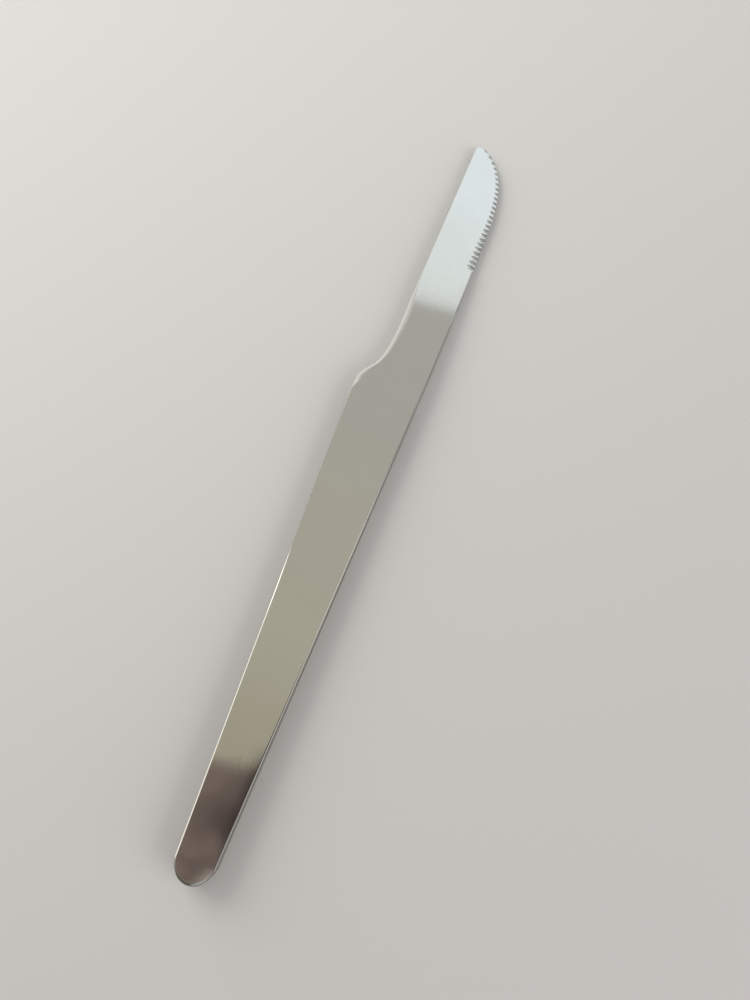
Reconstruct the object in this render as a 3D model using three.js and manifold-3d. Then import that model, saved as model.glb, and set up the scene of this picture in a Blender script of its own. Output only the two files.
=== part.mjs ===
// Dinner knife with a hollow handle. Two pressed half shells are brazed together along their rims.
// One forging makes the blade, the shoulder that closes the mouth of the shells, the spigot that
// fits inside that mouth and the tang, which cement holds in the hollow.
// Millimetres, +Z up. The knife lies on the flat underside of its handle, the blade points along
// +X and the cutting edge faces -Y. The origin is under the middle of the bounding box.

import * as THREE from 'three';
import { mergeVertices } from 'three/addons/utils/BufferGeometryUtils.js';
import Module from 'manifold-3d';

const wasm = await Module();
wasm.setup();

// Handle, both shells together, from the butt to the joint with the shoulder
const handleLength = 121.6;
const buttWidth = 9.2;
const middleWidth = 13.3;
const frontWidth = 17.3;
const buttRoundLength = 5.2;
const buttThickness = 6;
const frontThickness = 4;
const buttEdgeRadius = 1.3;
const frontEdgeRadius = 0.8;

// Shells and the film of braze between their rims
const shellWall = 0.7;
const smallestInnerRadius = 0.2;
const brazeThickness = 0.12;

// Shoulder: the wide front end of the handle, which turns down to the back of the blade
const shoulderRun = 1.4;
const shoulderCornerRun = 7;
const shoulderCornerDrop = 2.8;
const shoulderCornerPull = 3.2;
const shoulderHollowRun = 14.8;
const shoulderHollowPull = 9.5;
const shoulderSlopeRun = 2.2;
const shoulderSlopeDrop = 1.45;

// Blade, from the joint with the shells to the tip, measured from the knife's centre line
const bladeLength = 80.6;
const heelSpineHeight = 3.3;
const tipSpineHeight = 2.3;
const bellyDepth = 9.5;
const bellyFallLength = 38;
const bellyRiseLength = 25;
const tipFlatDepth = 0.4;
const tipCornerRadius = 0.9;
const sectionBlendLength = 26;
const tipThickness = 1;
const bladeTaperPower = 1.7;
const spineEdgeRadius = 0.3;
const bevelWidth = 0.8;
const heelBevelThickness = 1.3;
const tipBevelThickness = 0.8;
const cuttingEdgeThickness = 0.36;

// Serrations: parallel grooves in the upper side of the cutting edge
const serrationCount = 24;
const serrationPitch = 1.48;
const serrationTipInset = 1.6;
const serrationLength = 1.5;
const serrationRadius = 0.5;
const serrationSkew = THREE.MathUtils.degToRad(12);
const serrationTilt = THREE.MathUtils.degToRad(19);

// Spigot, tang and cement inside the shells
const fitClearance = 0.3;
const spigotLength = 5;
const tangLength = 62;
const tangRootWidth = 9;
const tangEndWidth = 6;
const tangThickness = 1.3;
const tangNotchRadius = 1.2;
const tangNotchPitch = 9;
const tangNotchCount = 3;
const cementDepthPastTang = 5;

// One overrun serves every cut and every joining overlap
const overrun = 1;
const weldDistance = 0.01;

// Facet counts
const sideSteps = 14;
const buttSteps = 16;
const edgeArcSteps = 4;
const cornerSteps = 8;
const hollowSteps = 10;
const plainSteps = 5;
const tipSteps = 3;
const grooveSides = 12;
const notchSteps = 10;

const quarterTurn = Math.PI / 2;

// Colours from the photograph: polished steel, pale grey cement, yellow braze
const polishedSteel = { color: 0xc9cac6, roughness: 0.12, metalness: 1 };
const forgedSteel = { color: 0xc6c8c5, roughness: 0.14, metalness: 1 };
const setCement = { color: 0xa9a49a, roughness: 0.9, metalness: 0 };
const brazeMetal = { color: 0xc2a566, roughness: 0.35, metalness: 1 };

// Solids and geometries

// Leaves out the triangles that two merged corners have closed up
function wholeTriangles(corners) {
  const whole = [];
  for (let first = 0; first < corners.length; first += 3) {
    const [a, b, c] = corners.slice(first, first + 3);
    if (a !== b && b !== c && c !== a) {
      whole.push(a, b, c);
    }
  }
  return whole;
}

function solidFrom(geometry) {
  const bare = geometry.clone();
  bare.deleteAttribute('normal');
  bare.deleteAttribute('uv');
  const merged = mergeVertices(bare, weldDistance / 100);
  const vertProperties = new Float32Array(merged.attributes.position.array);
  const triVerts = new Uint32Array(wholeTriangles(Array.from(merged.index.array)));
  return new wasm.Manifold(new wasm.Mesh({ numProp: 3, vertProperties, triVerts }));
}

// Draws the two ends of each very short edge together, which cuts leave where they cross an edge
function weldShortEdges(positions, triangles) {
  const points = new THREE.BufferAttribute(positions, 3);
  const place = (index) => new THREE.Vector3().fromBufferAttribute(points, index);
  const kept = Array.from({ length: points.count }, (unused, index) => index);
  const keptOf = (index) => (kept[index] === index ? index : keptOf(kept[index]));
  for (let corner = 0; corner < triangles.length; corner += 1) {
    const next = corner % 3 === 2 ? corner - 2 : corner + 1;
    const [low, high] = [keptOf(triangles[corner]), keptOf(triangles[next])].sort((a, b) => a - b);
    if (place(low).distanceTo(place(high)) < weldDistance) {
      kept[high] = low;
    }
  }
  return wholeTriangles(Array.from(triangles, keptOf));
}

function geometryFrom(solid) {
  const mesh = solid.getMesh();
  const positions = new Float32Array(mesh.vertProperties);
  const geometry = new THREE.BufferGeometry();
  geometry.setAttribute('position', new THREE.BufferAttribute(positions, 3));
  geometry.setIndex(weldShortEdges(positions, mesh.triVerts));
  geometry.computeVertexNormals();
  return geometry;
}

function piece(name, solid, finish) {
  const mesh = new THREE.Mesh(geometryFrom(solid), new THREE.MeshStandardMaterial(finish));
  mesh.name = name;
  return mesh;
}

// A closed solid over rings of points. Every ring has the same count and runs the same way round.
// Each ring is its own mirror image, so its first point faces its last one, and the two end rings
// are closed by flat strips between such pairs.
function closedSolid(rings) {
  const ringSize = rings[0].length;
  const faces = [];
  for (let row = 0; row + 1 < rings.length; row += 1) {
    for (let column = 0; column < ringSize; column += 1) {
      const next = (column + 1) % ringSize;
      const low = row * ringSize;
      const high = low + ringSize;
      faces.push(low + column, low + next, high + next);
      faces.push(low + column, high + next, high + column);
    }
  }
  const lastRing = (rings.length - 1) * ringSize;
  for (let near = 0, far = ringSize - 1; near < far - 1; near += 1, far -= 1) {
    faces.push(near, far, near + 1);
    faces.push(lastRing + near, lastRing + near + 1, lastRing + far);
    if (near + 1 < far - 1) {
      faces.push(near + 1, far, far - 1);
      faces.push(lastRing + near + 1, lastRing + far - 1, lastRing + far);
    }
  }
  const positions = rings.flat().flatMap((point) => [point.x, point.y, point.z]);
  const geometry = new THREE.BufferGeometry();
  geometry.setAttribute('position', new THREE.Float32BufferAttribute(positions, 3));
  geometry.setIndex(faces);
  return solidFrom(geometry);
}

// A box between two planes square to X, wide and high enough to hold the whole handle
function slice(fromX, toX) {
  const box = new THREE.BoxGeometry(toX - fromX, frontWidth + buttWidth, buttThickness + frontThickness);
  box.translate((fromX + toX) / 2, 0, 0);
  return solidFrom(box);
}

// A box over the whole handle between two heights
function layer(fromZ, toZ) {
  const box = new THREE.BoxGeometry(handleLength + bladeLength, frontWidth + buttWidth, toZ - fromZ);
  box.translate(handleLength / 2, 0, (fromZ + toZ) / 2);
  return solidFrom(box);
}

// Handle form

function handleHalfWidth(x) {
  const along = x / handleLength;
  const width = buttWidth * (1 - along) * (1 - 2 * along)
    + middleWidth * 4 * along * (1 - along)
    + frontWidth * along * (2 * along - 1);
  return width / 2;
}

function handleHalfThickness(x) {
  return THREE.MathUtils.lerp(buttThickness, frontThickness, x / handleLength) / 2;
}

function handleEdgeRadius(x) {
  return THREE.MathUtils.lerp(buttEdgeRadius, frontEdgeRadius, x / handleLength);
}

// The handle's plan outline, counter-clockwise: from the front end along the side of the blade's
// back, round the butt and along the other side. The front end runs past the joint.
function handleOutline() {
  const points = [];
  const frontX = handleLength + overrun;
  for (let step = 0; step < sideSteps; step += 1) {
    const x = THREE.MathUtils.lerp(buttRoundLength, frontX, step / sideSteps);
    points.unshift(new THREE.Vector2(x, handleHalfWidth(x)));
  }
  points.unshift(new THREE.Vector2(frontX, handleHalfWidth(frontX)));
  for (let step = 1; step < buttSteps; step += 1) {
    const turn = quarterTurn * (1 - (2 * step) / buttSteps);
    const x = buttRoundLength * (1 - Math.cos(turn));
    points.push(new THREE.Vector2(x, handleHalfWidth(x) * Math.sin(turn)));
  }
  for (let step = 0; step <= sideSteps; step += 1) {
    const x = THREE.MathUtils.lerp(buttRoundLength, frontX, step / sideSteps);
    points.push(new THREE.Vector2(x, -handleHalfWidth(x)));
  }
  return points;
}

// Outward normals of an outline that is open at its first and last point
function outlineNormals(points) {
  return points.map((point, index) => {
    const before = points[Math.max(index - 1, 0)];
    const after = points[Math.min(index + 1, points.length - 1)];
    const along = after.clone().sub(before).normalize();
    return new THREE.Vector2(along.y, -along.x);
  });
}

// The handle's form drawn in by an inset on all sides, with rounded long edges and flat faces
function handleForm(inset, radiusAt) {
  const outline = handleOutline();
  const normals = outlineNormals(outline);
  const halfThickness = (x) => handleHalfThickness(x) - inset.face;
  const rings = [];
  const addRing = (turn, side) => {
    rings.push(outline.map((point, index) => {
      const radius = radiusAt(point.x);
      const draw = inset.side + radius * (1 - Math.cos(turn));
      const x = point.x - normals[index].x * draw;
      const y = point.y - normals[index].y * draw;
      return new THREE.Vector3(x, y, side * (halfThickness(x) - radius * (1 - Math.sin(turn))));
    }));
  };
  for (let step = edgeArcSteps; step >= 0; step -= 1) {
    addRing((quarterTurn * step) / edgeArcSteps, -1);
  }
  for (let step = 0; step <= edgeArcSteps; step += 1) {
    addRing((quarterTurn * step) / edgeArcSteps, 1);
  }
  return closedSolid(rings);
}

function cavityEdgeRadius(x) {
  return Math.max(handleEdgeRadius(x) - shellWall, smallestInnerRadius);
}

const handleBody = handleForm({ side: 0, face: 0 }, handleEdgeRadius);
const cavity = handleForm({ side: shellWall, face: shellWall }, cavityEdgeRadius);
const innerForm = handleForm({ side: shellWall + fitClearance, face: shellWall }, cavityEdgeRadius);

// Shells and braze

const shellSlice = slice(-overrun, handleLength);
const shellPair = handleBody.intersect(shellSlice).subtract(cavity);
const halfBraze = brazeThickness / 2;
const upperShell = shellPair.intersect(layer(halfBraze, buttThickness));
const lowerShell = shellPair.intersect(layer(-buttThickness, -halfBraze));
const seamBraze = shellPair.intersect(layer(-halfBraze, halfBraze));

// Blade outlines, from the joint to the tip

const tipX = handleLength + bladeLength;
const bellyRiseX = tipX - bellyRiseLength;
const shoulderX = handleLength + shoulderRun;
const cornerEnd = new THREE.Vector2(shoulderX + shoulderCornerRun, handleHalfWidth(shoulderX) - shoulderCornerDrop);
const heel = new THREE.Vector2(cornerEnd.x + shoulderHollowRun, heelSpineHeight);

function straightSpine(x) {
  return THREE.MathUtils.mapLinear(x, heel.x, tipX, heelSpineHeight, tipSpineHeight);
}

const slopeHandle = new THREE.Vector2(shoulderSlopeRun, -shoulderSlopeDrop);
const shoulderCorner = new THREE.CubicBezierCurve(
  new THREE.Vector2(shoulderX, handleHalfWidth(shoulderX)),
  new THREE.Vector2(shoulderX + shoulderCornerPull, handleHalfWidth(shoulderX + shoulderCornerPull)),
  cornerEnd.clone().sub(slopeHandle),
  cornerEnd,
);
const shoulderHollow = new THREE.CubicBezierCurve(
  cornerEnd,
  cornerEnd.clone().add(slopeHandle),
  new THREE.Vector2(heel.x - shoulderHollowPull, straightSpine(heel.x - shoulderHollowPull)),
  heel,
);

// The back of the blade past the heel: a straight line that rounds off at the tip
function spineHeight(x) {
  const over = Math.max((x - tipX) / tipCornerRadius + 1, 0);
  return straightSpine(x) - tipCornerRadius * (1 - Math.sqrt(1 - over * over));
}

// The cutting edge: it falls gently from the handle, runs straight and rises to the tip as a
// quarter of an ellipse
function edgeHeight(x) {
  if (x <= bellyRiseX) {
    const left = Math.max(1 - (x - handleLength) / bellyFallLength, 0);
    return -bellyDepth + (bellyDepth - handleHalfWidth(handleLength)) * left * left;
  }
  const over = Math.min((x - bellyRiseX) / bellyRiseLength, 1);
  return -tipFlatDepth - (bellyDepth - tipFlatDepth) * Math.sqrt(1 - over * over);
}

// Where each groove of the serrated edge lies, from the tip towards the heel
function serrationPlaces() {
  return Array.from({ length: serrationCount }, (unused, index) => (
    tipX - serrationTipInset - index * serrationPitch
  ));
}

// Points along the back of the blade at which it is cut into sections. In the serrated stretch
// there is one section between each two grooves.
function spineOutline() {
  const corner = shoulderCorner.getPoints(cornerSteps);
  const hollow = shoulderHollow.getPoints(hollowSteps).slice(1);
  const betweenGrooves = serrationPlaces().reverse().map((x) => x - serrationPitch / 2);
  const toothX = betweenGrooves[0];
  const lastToothX = tipX - serrationTipInset + serrationPitch / 2;
  const plain = [];
  for (let step = 1; step < plainSteps; step += 1) {
    plain.push(THREE.MathUtils.lerp(heel.x, toothX, step / plainSteps));
  }
  const tip = [];
  for (let step = 0; step <= tipSteps; step += 1) {
    tip.push(THREE.MathUtils.lerp(lastToothX, tipX, Math.sin((quarterTurn * step) / tipSteps)));
  }
  const joint = new THREE.Vector2(handleLength, handleHalfWidth(handleLength));
  const straight = [...plain, ...betweenGrooves, ...tip].map((x) => new THREE.Vector2(x, spineHeight(x)));
  return [joint, ...corner, ...hollow, ...straight];
}

// Half thicknesses along the blade
function bladeHalfThickness(x) {
  const left = Math.max((tipX - x) / bladeLength, 0);
  return (tipThickness + (frontThickness - tipThickness) * left ** bladeTaperPower) / 2;
}

function bevelHalfThickness(x) {
  return THREE.MathUtils.mapLinear(x, handleLength, tipX, heelBevelThickness, tipBevelThickness) / 2;
}

// One cross-section of the blade from its back to its edge. Near the joint it is the handle's
// rounded bar. Past the blend it is a wedge with a bevelled edge, where the points of the bar's
// rounding come together on the ridge of the bevel.
function bladeSection(back) {
  const x = back.x;
  const width = back.y - edgeHeight(x);
  const blend = THREE.MathUtils.smoothstep(x, handleLength, handleLength + sectionBlendLength);
  const half = bladeHalfThickness(x);
  const barRadius = Math.min(frontEdgeRadius, width / 3);
  const backRadius = THREE.MathUtils.lerp(barRadius, spineEdgeRadius, blend);
  const bevel = Math.min(bevelWidth, width / 3);
  const upper = [];
  for (let step = 0; step <= edgeArcSteps; step += 1) {
    const turn = (quarterTurn * step) / edgeArcSteps;
    const y = back.y - backRadius * (1 - Math.cos(turn));
    upper.push(new THREE.Vector3(x, y, half - backRadius * (1 - Math.sin(turn))));
  }
  for (let step = edgeArcSteps; step >= 0; step -= 1) {
    const turn = (quarterTurn * step) / edgeArcSteps;
    const barIn = barRadius * (1 - Math.cos(turn));
    const barZ = half - barRadius * (1 - Math.sin(turn));
    const bevelIn = step > 0 ? bevel : 0;
    const bevelZ = step > 0 ? bevelHalfThickness(x) : cuttingEdgeThickness / 2;
    const y = edgeHeight(x) + THREE.MathUtils.lerp(barIn, bevelIn, blend);
    upper.push(new THREE.Vector3(x, y, THREE.MathUtils.lerp(barZ, bevelZ, blend)));
  }
  const lower = upper.map((point) => new THREE.Vector3(point.x, point.y, -point.z)).reverse();
  return [...upper, ...lower];
}

// Grooves of the serrated edge, all parallel, each running out through the cutting edge
function serrationCutters() {
  const reach = serrationLength + overrun;
  const inward = new THREE.Vector3(Math.sin(serrationSkew), Math.cos(serrationSkew), 0);
  const axis = inward.clone().multiplyScalar(Math.cos(serrationTilt)).setZ(Math.sin(serrationTilt));
  const turn = new THREE.Quaternion().setFromUnitVectors(new THREE.Vector3(0, 1, 0), axis);
  const start = inward.clone().multiplyScalar(serrationLength);
  const lift = serrationRadius / Math.cos(serrationTilt);
  return serrationPlaces().map((x) => {
    const groove = new THREE.CylinderGeometry(serrationRadius, serrationRadius, reach * 2, grooveSides);
    groove.applyQuaternion(turn);
    groove.translate(x + start.x, edgeHeight(x) + start.y, bevelHalfThickness(x) + lift);
    return solidFrom(groove);
  });
}

// Tang: a tapered bar with a rounded end and pairs of notches that key it in the cement
function tangShape(grow) {
  const rootX = handleLength - spigotLength + overrun;
  const endX = handleLength - spigotLength - tangLength - grow;
  const halfRoot = tangRootWidth / 2 + grow;
  const halfEnd = tangEndWidth / 2 + grow;
  const halfWidthAt = (x) => THREE.MathUtils.mapLinear(x, rootX, endX, halfRoot, halfEnd);
  const arcX = endX + halfEnd;
  const shape = new THREE.Shape();
  shape.moveTo(rootX, -halfRoot);
  shape.lineTo(rootX, halfRoot);
  const notches = [];
  for (let index = tangNotchCount; index >= 1; index -= 1) {
    notches.push(arcX + index * tangNotchPitch);
  }
  notches.forEach((x) => {
    shape.absarc(x, halfWidthAt(x), tangNotchRadius - grow, 0, -Math.PI, true);
  });
  shape.absarc(arcX, 0, halfWidthAt(arcX), quarterTurn, 3 * quarterTurn, false);
  notches.slice().reverse().forEach((x) => {
    shape.absarc(x, -halfWidthAt(x), tangNotchRadius - grow, Math.PI, 0, true);
  });
  shape.closePath();
  return shape;
}

function tangForm(grow) {
  const options = { depth: tangThickness, bevelEnabled: false, curveSegments: notchSteps };
  const bar = new THREE.ExtrudeGeometry(tangShape(grow), options);
  bar.translate(0, 0, -tangThickness / 2);
  return solidFrom(bar);
}

const spigot = innerForm.intersect(slice(handleLength - spigotLength, handleLength + overrun));
const plainBlade = closedSolid(spineOutline().map(bladeSection));
const bladeBar = serrationCutters().reduce((bar, cutter) => bar.subtract(cutter), plainBlade);
const blade = bladeBar.add(spigot).add(tangForm(0));

const cementEndX = handleLength - spigotLength - tangLength - cementDepthPastTang;
const cementBlock = innerForm.intersect(slice(cementEndX, handleLength - spigotLength));
const cement = cementBlock.subtract(tangForm(fitClearance));

// Assembly in the knife's own middle plane, then laid down on its underside

const knife = new THREE.Group();
knife.add(piece('blade', blade, forgedSteel));
knife.add(piece('handle_upper_shell', upperShell, polishedSteel));
knife.add(piece('handle_lower_shell', lowerShell, polishedSteel));
knife.add(piece('tang_cement', cement, setCement));
knife.add(piece('shell_seam_braze', seamBraze, brazeMetal));

const undersideSlope = (buttThickness - frontThickness) / 2 / handleLength;
knife.rotation.y = Math.atan(undersideSlope);
knife.updateMatrixWorld(true);
const box = new THREE.Box3().setFromObject(knife, true);
const middle = box.getCenter(new THREE.Vector3());
knife.position.set(-middle.x, -middle.y, -box.min.z);

const part = new THREE.Group();
part.add(knife);

export default part;
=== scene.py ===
"""Dinner knife with a hollow handle, lying on a pale table top.

The knife is modelled in millimetres in its own middle plane, with the butt at x = 0, the tip
towards +X and the cutting edge towards -Y. It is then laid on the underside of its handle and
brought to metres.
"""

import logging
import math
from dataclasses import dataclass, field
from enum import Enum
from typing import Callable, Iterable

import bmesh
import bpy
from mathutils import Matrix, Vector


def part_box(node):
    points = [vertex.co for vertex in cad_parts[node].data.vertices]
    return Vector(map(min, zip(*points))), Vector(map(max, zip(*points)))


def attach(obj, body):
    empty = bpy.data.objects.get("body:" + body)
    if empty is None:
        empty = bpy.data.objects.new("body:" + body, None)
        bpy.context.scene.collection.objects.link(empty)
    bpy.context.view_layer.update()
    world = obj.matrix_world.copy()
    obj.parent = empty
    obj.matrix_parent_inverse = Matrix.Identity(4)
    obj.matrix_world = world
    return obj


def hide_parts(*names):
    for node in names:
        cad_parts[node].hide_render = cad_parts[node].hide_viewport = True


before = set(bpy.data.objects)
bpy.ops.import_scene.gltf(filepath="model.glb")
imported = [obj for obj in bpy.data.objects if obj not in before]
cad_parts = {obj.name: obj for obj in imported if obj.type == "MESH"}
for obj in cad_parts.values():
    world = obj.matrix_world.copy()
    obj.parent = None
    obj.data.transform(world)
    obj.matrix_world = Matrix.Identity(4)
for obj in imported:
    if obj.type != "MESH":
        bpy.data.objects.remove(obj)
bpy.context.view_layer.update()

MILLIMETRE = 0.001
TINY = 1e-4
NEAR = 5 * TINY
STEEPEST = 0.01
LARGE_FACE_WEIGHT = 90
ROUND = 0.5
LOG = logging.getLogger("dinner_knife")

Span = tuple[float, float]
Triple = tuple[float, float, float]
Colour = tuple[float, float, float, float]
Piece = bpy.types.Object
Socket = bpy.types.NodeSocket

TO_TIP: Triple = (1.0, 0.0, 0.0)
TO_BUTT: Triple = (-1.0, 0.0, 0.0)
TO_BACK: Triple = (0.0, 1.0, 0.0)
TO_EDGE: Triple = (0.0, -1.0, 0.0)
UP: Triple = (0.0, 0.0, 1.0)
DOWN: Triple = (0.0, 0.0, -1.0)
MIDDLE: Triple = (0.0, 0.0, 0.0)
FULL: Span = (0.0, 1.0)


def lerp(start: float, end: float, share: float) -> float:
    """Returns the value that lies the given share of the way from start to end."""
    return start + (end - start) * share


def smoothstep(value: float, low: float, high: float) -> float:
    """Returns 0 below low and 1 above high, with a smooth rise between them."""
    share = min(max((value - low) / (high - low), 0.0), 1.0)
    return share * share * (3.0 - 2.0 * share)


def cubic(points: list[tuple[float, float]], steps: int) -> list[tuple[float, float]]:
    """Walks along a cubic Bezier curve.

    Args:
        points: The two ends with their two handles between them.
        steps: How many equal steps of the parameter the walk has.

    Returns:
        The points of the walk, without its first one.
    """
    walk = []
    for step in range(1, steps + 1):
        share = step / steps
        rest = 1.0 - share
        weights = (rest**3, 3 * rest * rest * share, 3 * rest * share * share, share**3)
        walk.append(
            (
                sum(weight * point[0] for weight, point in zip(weights, points)),
                sum(weight * point[1] for weight, point in zip(weights, points)),
            )
        )
    return walk


class Bench:
    """The edit-mode moves that all pieces share."""

    @staticmethod
    def clear() -> None:
        """Deselects every object."""
        if bpy.context.mode != "OBJECT":
            bpy.ops.object.mode_set(mode="OBJECT")
        bpy.ops.object.select_all(action="DESELECT")

    @staticmethod
    def only(obj: Piece) -> None:
        """Makes one object the only selected and the active one.

        Args:
            obj: The object.
        """
        Bench.clear()
        obj.select_set(True)
        bpy.context.view_layer.objects.active = obj

    @staticmethod
    def edit(obj: Piece) -> None:
        """Opens one object in edit mode, with its points as what is selected.

        Args:
            obj: The object.
        """
        Bench.only(obj)
        bpy.ops.object.mode_set(mode="EDIT")
        bpy.ops.mesh.select_mode(type="VERT")

    @staticmethod
    def done() -> None:
        """Goes back to object mode."""
        bpy.ops.object.mode_set(mode="OBJECT")

    @staticmethod
    def everything() -> None:
        """Selects all, in edit mode."""
        bpy.ops.mesh.select_all(action="SELECT")

    @staticmethod
    def weld() -> None:
        """Merges the points that lie on each other, in edit mode."""
        Bench.everything()
        bpy.ops.mesh.remove_doubles(threshold=TINY)

    @staticmethod
    def recalculate() -> None:
        """Turns the normals of closed or open shells the same way, outwards, in edit mode."""
        Bench.everything()
        bpy.ops.mesh.normals_make_consistent(inside=False)

    @staticmethod
    def pick(obj: Piece, wanted: Callable[[Vector], bool]) -> int:
        """Selects the points whose place passes a test, in edit mode.

        Args:
            obj: The object that is open in edit mode.
            wanted: The test on a point's place.

        Returns:
            How many points are selected.
        """
        mesh = bmesh.from_edit_mesh(obj.data)
        for vert in mesh.verts:
            vert.select_set(wanted(vert.co))
        mesh.select_flush_mode()
        bmesh.update_edit_mesh(obj.data)
        return sum(vert.select for vert in mesh.verts)

    @staticmethod
    def pick_numbers(obj: Piece, numbers: Iterable[int]) -> None:
        """Selects the points with the given numbers, in edit mode.

        Args:
            obj: The object that is open in edit mode.
            numbers: The numbers of the points.
        """
        mesh = bmesh.from_edit_mesh(obj.data)
        mesh.verts.ensure_lookup_table()
        for parts in (mesh.verts, mesh.edges, mesh.faces):
            for part in parts:
                part.select = False
        for number in numbers:
            mesh.verts[number].select_set(True)
        mesh.select_flush_mode()
        bmesh.update_edit_mesh(obj.data)

    @staticmethod
    def move(by: Triple) -> None:
        """Moves what is selected."""
        bpy.ops.transform.translate(value=by)

    @staticmethod
    def scale(by: Triple, centre: Triple) -> None:
        """Scales what is selected about a point."""
        bpy.ops.transform.resize(value=by, center_override=centre)

    @staticmethod
    def extrude(along: float) -> None:
        """Extrudes what is selected along the knife."""
        bpy.ops.mesh.extrude_region_move(TRANSFORM_OT_translate={"value": (along, 0, 0)})

    @staticmethod
    def paint(obj: Piece, material: bpy.types.Material) -> None:
        """Makes a material the only one of an object."""
        obj.data.materials.clear()
        obj.data.materials.append(material)

    @staticmethod
    def apply_modifiers(obj: Piece) -> None:
        """Applies every modifier of an object, in order.

        Args:
            obj: The object, whose modifiers become part of its mesh.
        """
        Bench.only(obj)
        for modifier in list(obj.modifiers):
            bpy.ops.object.modifier_apply(modifier=modifier.name)

    @staticmethod
    def copy(obj: Piece, name: str) -> Piece:
        """Copies an object with its mesh.

        Args:
            obj: The object to copy.
            name: The name of the copy and of its mesh.

        Returns:
            The copy.
        """
        Bench.only(obj)
        bpy.ops.object.duplicate(linked=False)
        twin = bpy.context.active_object
        twin.name = name
        twin.data.name = name
        return twin

    @staticmethod
    def cut(height: float, facing: Triple) -> None:
        """Cuts by a level plane and clears the side that the plane faces, in edit mode.

        Args:
            height: The height of the plane.
            facing: The plane's normal, up or down.
        """
        Bench.everything()
        bpy.ops.mesh.bisect(
            plane_co=(0, 0, height), plane_no=facing, clear_outer=True, threshold=TINY
        )

    @staticmethod
    def face_out(obj: Piece) -> None:
        """Turns the faces of an open or closed shell outwards, judged by its highest face.

        Args:
            obj: The object that is open in edit mode.
        """
        Bench.recalculate()
        mesh = bmesh.from_edit_mesh(obj.data)
        mesh.normal_update()
        highest = max(mesh.faces, key=lambda face: face.calc_center_median().z)
        if highest.normal.z < 0:
            bpy.ops.mesh.flip_normals()

    @staticmethod
    def smooth(obj: Piece, degrees: float) -> None:
        """Shades an object smooth below an angle, with the large faces kept flat.

        Args:
            obj: The object to shade.
            degrees: The angle between two faces above which their edge stays sharp.
        """
        Bench.only(obj)
        bpy.ops.object.shade_smooth_by_angle(angle=math.radians(degrees))
        weighted = obj.modifiers.new("even_shading", "WEIGHTED_NORMAL")
        weighted.mode = "FACE_AREA"
        weighted.weight = LARGE_FACE_WEIGHT
        weighted.keep_sharp = True
        Bench.apply_modifiers(obj)


@dataclass(frozen=True)
class Station:
    """The upper half of the knife's cross-section at one place along it.

    The back side has a rounded corner. On the other side the points of the corner can draw
    together on the ridge of the ground edge, with the lip as the edge itself.
    """

    x: float
    back: float
    edge: float
    half: float
    back_radius: float
    back_drop: float
    ridge_y: float
    ridge_z: float
    ridge_radius: float
    lip_z: float


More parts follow.
